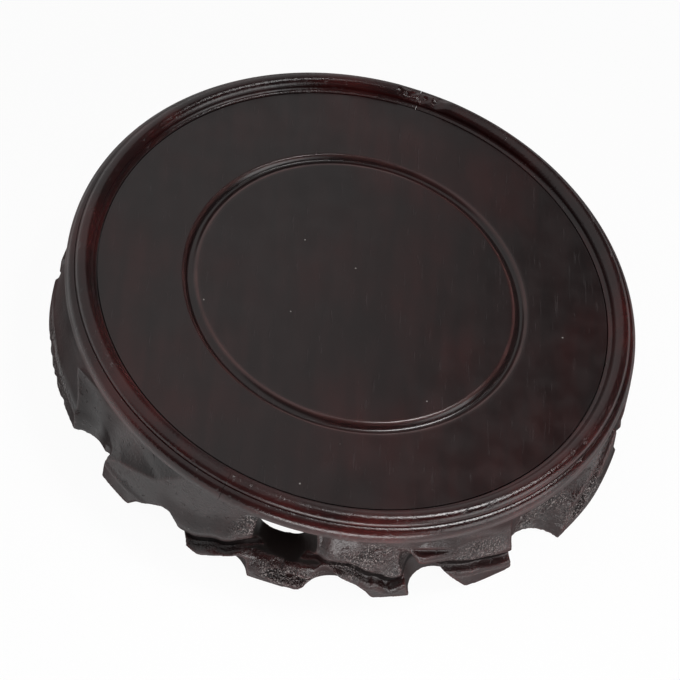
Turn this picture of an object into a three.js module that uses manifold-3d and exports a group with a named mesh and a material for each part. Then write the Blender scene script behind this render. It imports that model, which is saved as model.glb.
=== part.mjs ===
// Round carved wooden display stand: a framed panel top on a carved, fluted base ring.
// Millimetres, +Z up. The origin is on the ground, under the middle of the stand.
// Azimuths are in degrees, anticlockwise seen from above, with 0 along +X. The near side is 270.
import * as THREE from "three";
import { mergeVertices } from "three/addons/utils/BufferGeometryUtils.js";
import Module from "manifold-3d";

const wasm = await Module();
wasm.setup();

// Driving dimensions of the whole stand
const fieldRadius = 90.15; // the sunk field that the displayed piece stands on
const rimWidth = 10.35; // from the field's edge to the outermost edge of the rim
const baseHeight = 36.3; // the carved ring, from the ground to its top
const glueLine = 0.3; // gap left at every glued or fitted face

// Rim moulding: a flange rounded into a lower bead, a quirk, an upper bead, and a cove inside
const flangeThickness = 2.3;
const fieldAboveRimFoot = 3.6; // the field's level over the rim's underside
const beadRise = 4.1; // crest of the upper bead over the field
const quirkInset = 2.9; // the quirk between the beads, in from the rim's edge
const quirkRise = 1.4; // the quirk over the field
const coveWidth = 1.5; // from the field's edge to the foot of the upper bead
const lipThickness = 1.9; // the rim's inner lip, over the edge of the panel
const lipReach = 1.15; // how far that lip covers the panel
const flangeChamfer = 0.2; // edge taken off the flange below
const rimJoints = [90, 173, 258, 345]; // where the four curved rim pieces meet

// Field panel: boards joined edge to edge, with two dovetailed battens below
const panelThickness = 8;
const boardCount = 3;
const ringGroove = { inner: 56, outer: 60.4, depth: 1.7, slope: 1.2 };
const boardTongue = { reach: 3, thickness: 1.8 };
const batten = { offset: 38, width: 14, depth: 4, neck: 9, tail: 12, tailDepth: 2.2, endGap: 4 };

// Base ring: its blank is turned hollow, with a foot lip, a groove and a shoulder outside
const baseWall = 4.15; // the base's bore, in from the field's edge
const baseJoints = [14, 76.5, 134, 200, 256.5, 313]; // where the six base pieces meet
const neckInset = 4.8; // the top of the base, in from the rim's edge
const footLip = 10; // height of the foot lip that the moulding below is drawn for
// height over the ground, inset from the foot
const footMoulding = [
  [0, 0], [8.6, 0.2], [9.8, 0.9], [10.6, 3.2], [12.2, 4.8], [13.8, 4.0], [15.6, 1.8], [18, 0.8],
];
const neckHollow = 1.2; // 1 is a straight neck over the shoulder, more is rounder
const plainRise = 12; // height at which a foot that was carved plain starts to draw in
const plainRound = 1.5; // 1 is a straight plain face above that, more is rounder

// Lobes left standing round the foot. proud is how far the foot stands outside the rim's edge,
// moulded is 1 where the turned moulding still shows and 0 where it was carved away plain,
// lip is the height of the foot lip.
const lobes = [
  { az: 0, proud: 5.2, moulded: 0, lip: 10 },
  { az: 12, proud: 4.2, moulded: 0, lip: 10 },
  { az: 36, proud: 2.0, moulded: 0, lip: 10 },
  { az: 57, proud: 1.0, moulded: 0, lip: 10 },
  { az: 76, proud: 0.2, moulded: 1, lip: 10.4 },
  { az: 93, proud: -0.6, moulded: 1, lip: 9.8 },
  { az: 103, proud: -0.8, moulded: 1, lip: 9.4 },
  { az: 116, proud: -0.5, moulded: 1, lip: 6.5 },
  { az: 137, proud: 1.4, moulded: 1, lip: 10.4 },
  { az: 154, proud: 3.2, moulded: 0.2, lip: 10 },
  { az: 170, proud: 2.9, moulded: 0, lip: 10 },
  { az: 190, proud: 2.5, moulded: 0, lip: 10 },
  { az: 204, proud: 1.3, moulded: 0, lip: 10 },
  { az: 217, proud: 0.5, moulded: 0, lip: 10 },
  { az: 237, proud: 0.7, moulded: 0, lip: 10 },
  { az: 256, proud: 0.2, moulded: 1, lip: 10.4 },
  { az: 273, proud: -0.6, moulded: 1, lip: 9.8 },
  { az: 283, proud: -0.8, moulded: 1, lip: 9.4 },
  { az: 296, proud: -0.5, moulded: 1, lip: 6.5 },
  { az: 317, proud: 1.4, moulded: 1, lip: 10.4 },
  { az: 334, proud: 3.6, moulded: 0.2, lip: 10 },
  { az: 350, proud: 4.9, moulded: 0, lip: 10 },
];

// Flutes gouged between the lobes, leaning as they climb. A station gives its rise as a share of
// the base's height, its azimuth, half its width, and how deep its floor lies inside the rim's
// edge. A flute with a twin is cut again on the opposite side.
const neckFloor = 7.2; // no flute is deeper than this at the top, so that the rim keeps its seat
const flutes = [
  {
    twin: true,
    stations: [
      [0, 226.5, 11.5, 7], [0.22, 229, 17, 6.5], [0.44, 234, 24, 6.5],
      [0.72, 240, 29, 7.6], [1, 246, 22, neckFloor],
    ],
  },
  { twin: true, stations: [[0, 246.5, 13, 8.5], [0.33, 247, 9.5, 6.5], [0.56, 246.5, 3, 2.2]] },
  { twin: true, stations: [[0, 263.6, 8.5, 5.4], [0.22, 264, 6, 3.3], [0.28, 264.2, 1, 0.4]] },
  { twin: true, stations: [[0, 285.3, 11, 8.7], [0.22, 283.3, 8, 6], [0.38, 281, 2, 3.5]] },
  { twin: true, stations: [[0, 305.2, 10, 10], [0.56, 298, 6, 9], [1, 291.5, 1, 6.2]] },
  { twin: true, stations: [[0, 327.6, 10.8, 7.5], [0.4, 326, 10.5, 8], [1, 320, 9, neckFloor]] },
  { twin: true, stations: [[0.04, 336, 1.2, -2.5], [0.4, 339, 7, 1.5], [1, 349, 9, neckFloor]] },
  { twin: false, stations: [[0, 361, 5, -1.5], [1, 353, 4, 3]] },
  { twin: false, stations: [[0, 184, 4, -0.5], [1, 186, 5, 5]] },
];
const flattestFlute = 150; // the largest radius that a flute's floor is gouged to
const fluteSpill = 1.3; // how far the gouge's arc runs on past the flute's edges

// The pierced opening above one foot, wider outside than inside. Its lower edge stands over the
// ground by the sill. Its upper edge is under the base's top outside, and under the panel's
// ledge inside, by the head.
const opening = {
  outside: { az: 273.4, halfWidth: 12, sill: 11.5, head: 2.8 },
  inside: { az: 270.8, halfWidth: 8.5, sill: 12.5, head: 1.4 },
  squareness: 2.4, // 2 is an ellipse, more is squarer
};
// The hollow scooped in the foot below the opening
const footHollow = { az: 274.2, z: 5.6, halfWidth: 12, halfHeight: 4.6, depth: 2.6 };

// Loose tongues, dowels and pins inside the joints
const rimTongue = { length: 14, width: 5, thickness: 2, aboveRimFoot: 1.8 };
const baseDowel = { radius: 2.5, length: 14, belowTop: 16.3 };
const rimPin = { radius: 1.1, intoBase: 12, cover: 2.8 };
const pinAzimuths = [179, 193, 208, 218, 287, 303, 318, 2, 20, 38, 107, 123, 138];

// How finely the round shapes are cut
const facets = 76; // round every turned piece
const beadSteps = 6; // over the upper bead
const neckSteps = 4; // up the neck of the base
const fluteLevels = 6; // outlines up each flute
const fluteSteps = 7; // across each flute
const openingSides = 20;
const hollowSides = 14;
const dowelSides = 12;
const pinSides = 10;

const past = 1; // how far a cutter runs past what it cuts
const farOut = 20; // how far the outermost cutters reach past the rim's edge

// Sizes that follow from those above
const rimRadius = fieldRadius + rimWidth;
const rimFoot = baseHeight + glueLine;
const fieldLevel = rimFoot + fieldAboveRimFoot;
const crestLevel = fieldLevel + beadRise;
const panelUnderside = fieldLevel - panelThickness;
const rebateRadius = fieldRadius + lipReach;
const panelRadius = rebateRadius - glueLine;
const lipUnderside = fieldLevel - lipThickness;
const baseBore = fieldRadius - baseWall;
const ledgeLevel = panelUnderside - glueLine;
const neckRadius = rimRadius - neckInset;
const shoulder = footMoulding[footMoulding.length - 1]; // height, inset

const painted = (red, green, blue, roughness) =>
  new THREE.MeshStandardMaterial({ color: new THREE.Color(red, green, blue), roughness, metalness: 0 });
const materials = {
  field: painted(0.045, 0.034, 0.034, 0.34),
  rim: painted(0.042, 0.026, 0.026, 0.22),
  base: painted(0.05, 0.03, 0.03, 0.25),
  bareWood: painted(0.3, 0.15, 0.09, 0.7),
  bamboo: painted(0.62, 0.47, 0.27, 0.6),
};

const stand = new THREE.Group();

const radians = (degrees) => (degrees * Math.PI) / 180;
const polar = (radius, az, z) =>
  new THREE.Vector3(radius * Math.cos(radians(az)), radius * Math.sin(radians(az)), z);

// A closed three.js geometry as a solid that can be joined and cut
function solidOf(geometry) {
  const bare = geometry.clone();
  bare.deleteAttribute("normal");
  bare.deleteAttribute("uv");
  const merged = mergeVertices(bare, 1e-4);
  const position = merged.getAttribute("position");
  const corners = merged.getIndex().array;
  const triangles = [];
  for (let i = 0; i < corners.length; i += 3) {
    const [a, b, c] = [corners[i], corners[i + 1], corners[i + 2]];
    if (a !== b && b !== c && c !== a) triangles.push(a, b, c);
  }
  return new wasm.Manifold(new wasm.Mesh({
    numProp: 3,
    vertProperties: new Float32Array(position.array),
    triVerts: new Uint32Array(triangles),
  }));
}

function add(name, solid, material) {
  const { vertProperties, triVerts } = solid.getMesh();
  const geometry = new THREE.BufferGeometry();
  geometry.setAttribute("position", new THREE.BufferAttribute(vertProperties, 3));
  geometry.setIndex(new THREE.BufferAttribute(triVerts, 1));
  geometry.computeVertexNormals();
  const mesh = new THREE.Mesh(geometry, material);
  mesh.name = name;
  stand.add(mesh);
}

const subtractAll = (solid, cutters) => cutters.reduce((rest, cutter) => rest.subtract(cutter), solid);

function solidOfPoints(points, index) {
  const geometry = new THREE.BufferGeometry();
  const positions = points.flatMap((point) => [point.x, point.y, point.z]);
  geometry.setAttribute("position", new THREE.Float32BufferAttribute(positions, 3));
  geometry.setIndex(index);
  return solidOf(geometry);
}

// A ring or disc turned from a closed outline of [radius, height] points, anticlockwise
function turned(outline) {
  const points = [...outline, outline[0]].map(([radius, z]) => new THREE.Vector2(radius, z));
  const geometry = new THREE.LatheGeometry(points, facets);
  geometry.rotateX(Math.PI / 2);
  return solidOf(geometry);
}

// A box with its middle at a point, turned about the vertical
function boxSolid(size, middle, az = 0) {
  const geometry = new THREE.BoxGeometry(size.x, size.y, size.z);
  geometry.rotateZ(radians(az));
  geometry.translate(middle.x, middle.y, middle.z);
  return solidOf(geometry);
}

// A closed skin over a stack of outlines with the same number of points. Each outline runs
// anticlockwise seen from the side that the stack grows towards.
function loft(outlines) {
  const count = outlines[0].length;
  const index = [];
  for (let level = 0; level < outlines.length - 1; level++) {
    for (let i = 0; i < count; i++) {
      const next = (i + 1) % count;
      const [a, b] = [level * count + i, level * count + next];
      index.push(a, b, b + count, a, b + count, a + count);
    }
  }
  const top = (outlines.length - 1) * count;
  for (let i = 1; i < count - 1; i++) {
    index.push(0, i + 1, i);
    index.push(top, top + i, top + i + 1);
  }
  return solidOfPoints(outlines.flat(), index);
}

// A ring whose outline changes with the azimuth
function sweptRing(outlineAt) {
  const outlines = [];
  for (let i = 0; i < facets; i++) {
    const az = (360 * i) / facets;
    outlines.push(outlineAt(az).map(([radius, z]) => polar(radius, az, z)));
  }
  const count = outlines[0].length;
  const index = [];
  for (let turn = 0; turn < facets; turn++) {
    const [here, there] = [turn * count, ((turn + 1) % facets) * count];
    for (let i = 0; i < count; i++) {
      const next = (i + 1) % count;
      index.push(here + i, there + i, there + next, here + i, there + next, here + next);
    }
  }
  return solidOfPoints(outlines.flat(), index);
}

// The wedge between two joints, half a glue line back from each joint plane
function wedge([from, to]) {
  const [near, far] = [baseBore / 2, rimRadius * 2];
  const corner = (radius, az, side) => polar(radius, az, 0).add(polar((side * glueLine) / 2, az + 90, 0));
  const outline = [
    corner(near, from, 1), corner(far, from, 1), polar(far, (from + to) / 2, 0),
    corner(far, to, -1), corner(near, to, -1),
  ];
  const shape = new THREE.Shape(outline.map((point) => new THREE.Vector2(point.x, point.y)));
  const geometry = new THREE.ExtrudeGeometry(shape, { depth: crestLevel + 2 * past, bevelEnabled: false });
  geometry.translate(0, 0, -past);
  return solidOf(geometry);
}

const arcFrom = (joints, i) => [joints[i], i + 1 < joints.length ? joints[i + 1] : joints[0] + 360];

// Points on a quarter or half of an ellipse, from one angle to another
function ellipseArc([radius, z], halfWidth, height, fromAngle, toAngle, steps) {
  const points = [];
  for (let i = 0; i <= steps; i++) {
    const angle = radians(fromAngle + ((toAngle - fromAngle) * i) / steps);
    points.push([radius + halfWidth * Math.cos(angle), z + height * Math.sin(angle)]);
  }
  return points;
}

// Straight-line reading of a table of [x, y] rows
function between(rows, x) {
  const last = rows[rows.length - 1];
  if (x <= rows[0][0]) return rows[0][1];
  if (x >= last[0]) return last[1];
  const i = rows.findIndex((row) => row[0] >= x);
  const [x0, y0] = rows[i - 1];
  const [x1, y1] = rows[i];
  return y0 + ((y1 - y0) * (x - x0)) / (x1 - x0);
}

// A lobe value eased from one lobe to the next
function lobeValue(az, key) {
  const turn = ((az % 360) + 360) % 360;
  const i = lobes.findLastIndex((lobe) => lobe.az <= turn);
  const here = lobes.at(i);
  const next = lobes[(i + 1) % lobes.length];
  const span = (next.az - here.az + 360) % 360;
  const share = ((turn - here.az + 360) % 360) / span;
  const eased = share * share * (3 - 2 * share);
  return here[key] * (1 - eased) + next[key] * eased;
}

const shoulderLevel = (az) => (shoulder[0] * lobeValue(az, "lip")) / footLip;

// Outside radius of the uncarved blank at an azimuth and height. A foot that is cut back inside
// the rim's edge still climbs to the full neck.
function blankRadius(az, z) {
  const proud = lobeValue(az, "proud");
  const moulded = lobeValue(az, "moulded");
  const edge = rimRadius + proud + (Math.max(proud, 0) - proud) * (z / baseHeight);
  const level = shoulderLevel(az);
  const neckShare = Math.max(0, (z - level) / (baseHeight - level));
  const mouldedInset = z < level
    ? between(footMoulding, (z * footLip) / lobeValue(az, "lip"))
    : shoulder[1] + (neckInset - shoulder[1]) * neckShare ** neckHollow;
  const plainShare = Math.max(0, (z - plainRise) / (baseHeight - plainRise));
  return edge - moulded * mouldedInset - (1 - moulded) * neckInset * plainShare ** plainRound;
}

// The base's blank: outside as turned, bored inside, with a ledge for the panel's edge
function baseBlank() {
  return sweptRing((az) => {
    const level = shoulderLevel(az);
    const heights = footMoulding.map(([z]) => (z * lobeValue(az, "lip")) / footLip);
    for (let i = 1; i <= neckSteps; i++) heights.push(level + ((baseHeight - level) * i) / neckSteps);
    return [
      [baseBore, 0], ...heights.map((z) => [blankRadius(az, z), z]),
      [rebateRadius, baseHeight], [rebateRadius, ledgeLevel], [baseBore, ledgeLevel],
    ];
  });
}

// One flute as a cutter: at each level the arc of a circle that is bottomed at the flute's floor
function fluteCutter(stations, turn) {
  const columns = [1, 2, 3].map((column) => stations.map((station) => [station[0], station[column]]));
  const [first, last] = [stations[0][0], stations[stations.length - 1][0]];
  const outside = rimRadius + farOut;
  const outlines = [];
  for (let level = 0; level < fluteLevels; level++) {
    const rise = first + ((last - first) * level) / (fluteLevels - 1);
    const [az, half, deep] = columns.map((rows) => between(rows, rise));
    const blank = blankRadius(az + turn, rise * baseHeight);
    const floor = rimRadius - deep;
    const flattest = (half * half) / (2 * flattestFlute);
    const sink = Math.max(Math.sqrt(blank * blank - half * half) - floor, flattest);
    const radius = (half * half + sink * sink) / (2 * sink);
    const reach = Math.asin(Math.min(1, (fluteSpill * half) / radius));
    const overshoot = level === 0 ? -past : level === fluteLevels - 1 ? past : 0;
    const z = rise * baseHeight + overshoot;
    const at = (outward, sideways) => polar(outward, az + turn, z).add(polar(sideways, az + turn + 90, 0));
    const outline = [];
    for (let i = 0; i <= fluteSteps; i++) {
      const angle = reach * (1 - (2 * i) / fluteSteps);
      outline.push(at(floor + radius * (1 - Math.cos(angle)), radius * Math.sin(angle)));
    }
    const edge = radius * Math.sin(reach);
    outlines.push([...outline, at(outside, -edge), at(outside, edge)]);
  }
  return loft(outlines);
}

// The pierced opening as a cutter from inside the bore to outside the lobes
function openingCutter(turn) {
  const { outside, inside, squareness } = opening;
  const tops = { outside: baseHeight - outside.head, inside: ledgeLevel - inside.head };
  const rounded = (value) => Math.sign(value) * Math.abs(value) ** (2 / squareness);
  const section = (radius) => {
    const share = (radius - baseBore) / (rimRadius - baseBore);
    const mix = (inner, outer) => inner + (outer - inner) * share;
    const [az, sill] = [mix(inside.az, outside.az) + turn, mix(inside.sill, outside.sill)];
    const halfWidth = mix(inside.halfWidth, outside.halfWidth);
    const halfHeight = (mix(tops.inside, tops.outside) - sill) / 2;
    const outline = [];
    for (let i = 0; i < openingSides; i++) {
      const angle = (2 * Math.PI * i) / openingSides;
      const up = sill + halfHeight * (1 + rounded(Math.sin(angle)));
      outline.push(polar(radius, az, up).add(polar(halfWidth * rounded(Math.cos(angle)), az + 90, 0)));
    }
    return outline;
  };
  return loft([section(baseBore - past), section(rimRadius + lobeReach + past)]);
}

// The scooped hollow in the foot below the opening
function hollowCutter(turn) {
  const { az, z, halfWidth, halfHeight, depth } = footHollow;
  const radius = blankRadius(az + turn, z);
  const geometry = new THREE.SphereGeometry(1, hollowSides, hollowSides);
  geometry.scale(depth * 2, halfWidth, halfHeight);
  geometry.rotateZ(radians(az + turn));
  const middle = polar(radius + depth, az + turn, z);
  geometry.translate(middle.x, middle.y, middle.z);
  return solidOf(geometry);
}

const lobeReach = Math.max(...lobes.map((lobe) => lobe.proud));
const flangeTop = rimFoot + flangeThickness;
const beadFoot = fieldLevel + quirkRise;
const beadHalf = (rimWidth - quirkInset - coveWidth) / 2;
const rimSection = [
  [fieldRadius, lipUnderside],
  [rebateRadius, lipUnderside],
  [rebateRadius, rimFoot],
  [rimRadius - flangeChamfer, rimFoot],
  [rimRadius, rimFoot + flangeChamfer],
  ...ellipseArc([rimRadius - quirkInset, flangeTop], quirkInset, beadFoot - flangeTop, 0, 90, 3),
  ...ellipseArc([fieldRadius + coveWidth + beadHalf, beadFoot], beadHalf, crestLevel - beadFoot, 0, 180,
    beadSteps).slice(1),
  ...ellipseArc([fieldRadius, beadFoot], coveWidth, -quirkRise, 0, 90, 2).slice(1),
];

// A mortise is its tongue with the glue line all round
function rimTongueSolid(az, gap) {
  const size = new THREE.Vector3(rimTongue.width, rimTongue.length, rimTongue.thickness).addScalar(2 * gap);
  const z = rimFoot + rimTongue.aboveRimFoot + rimTongue.thickness / 2;
  return boxSolid(size, polar((rebateRadius + rimRadius) / 2, az, z), az);
}

function dowelSolid(az, gap) {
  const radius = baseDowel.radius + gap;
  const geometry = new THREE.CylinderGeometry(radius, radius, baseDowel.length + 2 * gap, dowelSides);
  geometry.rotateZ(radians(az));
  const middle = polar((baseBore + rimRadius) / 2, az, baseHeight - baseDowel.belowTop);
  geometry.translate(middle.x, middle.y, middle.z);
  return solidOf(geometry);
}

function pinSolid(az, gap) {
  const radius = rimPin.radius + gap;
  const [low, high] = [baseHeight - rimPin.intoBase - gap, crestLevel - rimPin.cover + gap];
  const geometry = new THREE.CylinderGeometry(radius, radius, high - low, pinSides);
  geometry.rotateX(Math.PI / 2);
  const middle = polar((rebateRadius + neckRadius) / 2, az, (low + high) / 2);
  geometry.translate(middle.x, middle.y, middle.z);
  return solidOf(geometry);
}

// An outline of [across, height] points drawn out along X
function beam(outline, y, halfLength) {
  const shape = new THREE.Shape(outline.map(([across, z]) => new THREE.Vector2(across, z)));
  const geometry = new THREE.ExtrudeGeometry(shape, { depth: 2 * halfLength, bevelEnabled: false });
  geometry.translate(0, 0, -halfLength);
  geometry.rotateX(Math.PI / 2);
  geometry.rotateZ(Math.PI / 2);
  geometry.translate(0, y, 0);
  return solidOf(geometry);
}

function battenSolid(y, halfLength) {
  const top = panelUnderside - glueLine;
  const [bar, neck, tail] = [batten.width / 2, batten.neck / 2, batten.tail / 2];
  return beam([
    [-bar, top - batten.depth], [bar, top - batten.depth], [bar, top], [neck, top],
    [tail, panelUnderside + batten.tailDepth], [-tail, panelUnderside + batten.tailDepth],
    [-neck, top], [-bar, top],
  ], y, halfLength);
}

// The dovetailed housing that the batten slides into
function battenHousing(y) {
  const [neck, tail] = [batten.neck / 2 + glueLine, batten.tail / 2 + glueLine];
  const [low, high] = [panelUnderside - glueLine, panelUnderside + batten.tailDepth + glueLine];
  return beam([[-neck, low], [neck, low], [tail, high], [-tail, high]], y, panelRadius + past);
}

// Field panel: one turned disc, cut into boards along Y and tongued edge to edge. The tongues lie
// midway between the batten housings and the ring groove.
function addFieldPanel() {
  const disc = turned([
    [0, panelUnderside], [panelRadius, panelUnderside], [panelRadius, lipUnderside - glueLine],
    [fieldRadius - glueLine, lipUnderside - glueLine], [fieldRadius - glueLine, fieldLevel],
    [ringGroove.outer, fieldLevel],
    [ringGroove.outer - ringGroove.slope, fieldLevel - ringGroove.depth],
    [ringGroove.inner + ringGroove.slope, fieldLevel - ringGroove.depth],
    [ringGroove.inner, fieldLevel], [0, fieldLevel],
  ]);
  const boardWidth = (2 * panelRadius) / boardCount;
  const slab = (fromX, toX, low, high) => boxSolid(
    new THREE.Vector3(toX - fromX, 2 * (panelRadius + past), high - low),
    new THREE.Vector3((fromX + toX) / 2, 0, (low + high) / 2),
  );
  const tongueMiddle = (panelUnderside + batten.tailDepth + fieldLevel - ringGroove.depth) / 2;
  const tongueLow = tongueMiddle - boardTongue.thickness / 2;
  const tongueHigh = tongueMiddle + boardTongue.thickness / 2;
  const housings = [-1, 1].map((side) => battenHousing(side * batten.offset));
  for (let i = 0; i < boardCount; i++) {
    const [left, right] = [i * boardWidth - panelRadius, (i + 1) * boardWidth - panelRadius];
    const [from, to] = [left + glueLine / 2, right - glueLine / 2];
    let board = disc.intersect(slab(from, to, panelUnderside - past, fieldLevel + past));
    if (i < boardCount - 1) {
      const tongue = slab(to - past, right + boardTongue.reach, tongueLow, tongueHigh);
      board = board.add(disc.intersect(tongue));
    }
    if (i > 0) {
      const slotEnd = left + boardTongue.reach + glueLine;
      board = board.subtract(slab(left - past, slotEnd, tongueLow - glueLine, tongueHigh + glueLine));
    }
    add(`field_board_${i + 1}`, subtractAll(board, housings), materials.field);
  }
}

function addBattens() {
  const furthest = batten.offset + batten.width / 2;
  const halfLength = Math.sqrt(baseBore ** 2 - furthest ** 2) - batten.endGap;
  for (const [name, side] of [["batten_near", -1], ["batten_far", 1]]) {
    add(name, battenSolid(side * batten.offset, halfLength), materials.bareWood);
  }
}

function addRim() {
  const ring = turned(rimSection);
  const mortises = rimJoints.map((az) => rimTongueSolid(az, glueLine));
  const pinHoles = pinAzimuths.map((az) => pinSolid(az, glueLine));
  rimJoints.forEach((joint, i) => {
    const piece = ring.intersect(wedge(arcFrom(rimJoints, i)));
    add(`rim_segment_${i + 1}`, subtractAll(piece, [...mortises, ...pinHoles]), materials.rim);
    add(`rim_tongue_${i + 1}`, rimTongueSolid(joint, 0), materials.bareWood);
  });
}

function addBase() {
  const cutters = flutes.flatMap(({ stations, twin }) =>
    (twin ? [0, 180] : [0]).map((turn) => fluteCutter(stations, turn)));
  for (const turn of [0, 180]) cutters.push(openingCutter(turn), hollowCutter(turn));
  const ring = subtractAll(baseBlank(), cutters);
  const dowelHoles = baseJoints.map((az) => dowelSolid(az, glueLine));
  const pinHoles = pinAzimuths.map((az) => pinSolid(az, glueLine));
  baseJoints.forEach((joint, i) => {
    const piece = ring.intersect(wedge(arcFrom(baseJoints, i)));
    add(`base_segment_${i + 1}`, subtractAll(piece, [...dowelHoles, ...pinHoles]), materials.base);
    add(`base_dowel_${i + 1}`, dowelSolid(joint, 0), materials.bamboo);
  });
}

function addPins() {
  pinAzimuths.forEach((az, i) => {
    add(`rim_pin_${i + 1}`, pinSolid(az, 0), materials.bamboo);
  });
}

addFieldPanel();
addBattens();
addRim();
addBase();
addPins();

export default stand;
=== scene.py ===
import math

import bmesh
import bpy
import numpy as np
from mathutils import Matrix, Vector


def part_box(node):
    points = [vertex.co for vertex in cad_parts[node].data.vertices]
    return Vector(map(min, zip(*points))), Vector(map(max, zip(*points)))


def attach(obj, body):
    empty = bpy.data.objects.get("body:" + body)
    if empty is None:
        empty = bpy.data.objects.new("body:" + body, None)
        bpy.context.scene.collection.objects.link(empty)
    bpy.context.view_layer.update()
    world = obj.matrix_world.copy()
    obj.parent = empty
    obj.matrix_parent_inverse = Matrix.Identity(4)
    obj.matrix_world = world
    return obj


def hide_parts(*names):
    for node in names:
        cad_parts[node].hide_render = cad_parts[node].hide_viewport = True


# Round carved display stand in dark red-brown lacquer. Sizes in the dictionaries are in
# millimetres and degrees; azimuths run anticlockwise seen from above, with 270 on the near side.
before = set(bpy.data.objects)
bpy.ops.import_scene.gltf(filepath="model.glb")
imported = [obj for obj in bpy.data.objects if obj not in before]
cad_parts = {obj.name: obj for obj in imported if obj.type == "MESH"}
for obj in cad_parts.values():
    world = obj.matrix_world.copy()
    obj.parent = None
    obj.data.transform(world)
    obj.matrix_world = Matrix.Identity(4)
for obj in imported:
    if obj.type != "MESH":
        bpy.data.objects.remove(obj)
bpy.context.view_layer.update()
mm = 0.001
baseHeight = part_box("base_segment_5")[1].z / mm
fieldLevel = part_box("field_board_2")[1].z / mm
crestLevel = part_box("rim_segment_3")[1].z / mm
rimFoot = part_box("rim_segment_3")[0].z / mm
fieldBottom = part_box("field_board_2")[0].z / mm
glueLine = 0.3


def link(name, data):
    piece = bpy.data.objects.new(name, data)
    bpy.context.scene.collection.objects.link(piece)
    return piece


def addNode(tree, kind, values=None, **settings):
    node = tree.nodes.new(kind)
    for key, value in settings.items():
        setattr(node, key, value)
    for key, value in (values or {}).items():
        if isinstance(value, bpy.types.NodeSocket):
            tree.links.new(value, node.inputs[key])
        else:
            node.inputs[key].default_value = value
    return node


def math2(tree, operation, a, b=0.0, clamp=False):
    node = addNode(tree, "ShaderNodeMath", {0: a, 1: b}, operation=operation, use_clamp=clamp)
    return node.outputs[0]


def spread(tree, value, low, high, toLow=0.0, toHigh=1.0):
    values = {"Value": value, "From Min": low, "From Max": high, "To Min": toLow, "To Max": toHigh}
    node = addNode(tree, "ShaderNodeMapRange", values, interpolation_type="SMOOTHSTEP")
    return node.outputs["Result"]


def noiseTexture(tree, vector, scale, **settings):
    values = {"Vector": vector, "Scale": scale}
    values.update({name.capitalize(): value for name, value in settings.items()})
    return addNode(tree, "ShaderNodeTexNoise", values).outputs["Fac"]


def attribute(tree, name):
    return addNode(tree, "ShaderNodeAttribute", attribute_name=name).outputs["Fac"]


def mixColor(tree, share, a, b, blend="MIX"):
    values = {"Factor": share, 6: a, 7: b}
    node = addNode(tree, "ShaderNodeMix", values, data_type="RGBA", blend_type=blend)
    return node.outputs[2]


def newMaterial(name):
    material = bpy.data.materials.new(name)
    material.use_nodes = True
    return material, material.node_tree, material.node_tree.nodes["Principled BSDF"]


print("camera, floor and light")

photoCamera = {
    "elevation": 50.69, "roll": -18.20, "pan": 0.41, "tilt": -1.28,
    "distance": 804.0,   # from the middle of the field
    "focal": 2323.0,     # in pixels of a 680 pixel picture
    "picture": 680.0, "sensor": 36.0, "nearest": 10,
}


def addCamera():
    view = photoCamera
    lift = math.radians(view["elevation"])
    away = Vector((0, -math.cos(lift), math.sin(lift)))
    forward = -away
    right = Vector((1, 0, 0))
    up = right.cross(forward)
    roll = Matrix.Rotation(math.radians(view["roll"]), 3, forward)
    right, up = roll @ right, roll @ up
    pan = Matrix.Rotation(math.radians(view["pan"]), 3, up)
    forward, right = pan @ forward, pan @ right
    tilt = Matrix.Rotation(math.radians(view["tilt"]), 3, right)
    forward, up = tilt @ forward, tilt @ up
    data = bpy.data.cameras.new("photoCamera")
    data.sensor_width = view["sensor"]
    data.lens = view["focal"] / view["picture"] * data.sensor_width
    data.clip_start = view["nearest"] * mm
    camera = link("photoCamera", data)
    place = Vector((0, 0, fieldLevel)) + away * view["distance"]
    turned = Matrix((right, up, -forward)).transposed().to_4x4()
    camera.matrix_world = Matrix.Translation(place * mm) @ turned
    bpy.context.scene.camera = camera


studio = {
    "brightWall": 0.66, "darkWall": 0.09,   # the room is dark on the right and near sides
    # axis, and how far along it the dark ends and the bright begins
    "wallEdges": (("X", 0.10, -0.02), ("Y", -0.60, -0.40)),
    "floorSize": 9000.0, "floorRoughness": 0.9,
    "floorColor": (0.97, 0.97, 0.97, 1),
    "floorWhite": 0.95,   # share of the floor that the camera sees as plain white paper
    # name: place, aimed at, width, height, watts, spread of its light
    "lamps": {
        "overheadLamp": ((370, 110, 975), (60, -115, 40), 340, 340, 0.18, 24),
        "frontCard": ((77, -238, 22), (0, 0, 22), 190, 40, 0.18, 180),
        "rightSoftbox": ((900, -340, 340), (0, 0, 30), 800, 520, 3.9, 180),
    },
}


def addLamps():
    for name, (place, aim, width, height, watts, spreadAngle) in studio["lamps"].items():
        data = bpy.data.lights.new(name, "AREA")
        data.shape = "RECTANGLE"
        data.size, data.size_y = width * mm, height * mm
        data.energy = watts
        data.spread = math.radians(spreadAngle)
        lamp = link(name, data)
        lamp.location = Vector(place) * mm
        lamp.rotation_euler = (Vector(aim) - Vector(place)).to_track_quat("-Z", "Y").to_euler()
        lamp.visible_camera = False


def plainRays(tree):
    # the rays that see the floor as paper: the camera's own, and those mirrored or let through
    path = tree.nodes.new("ShaderNodeLightPath")
    seen = math2(tree, "MAXIMUM", path.outputs["Is Camera Ray"], path.outputs["Is Glossy Ray"])
    return math2(tree, "MAXIMUM", seen, path.outputs["Is Transmission Ray"])


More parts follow.
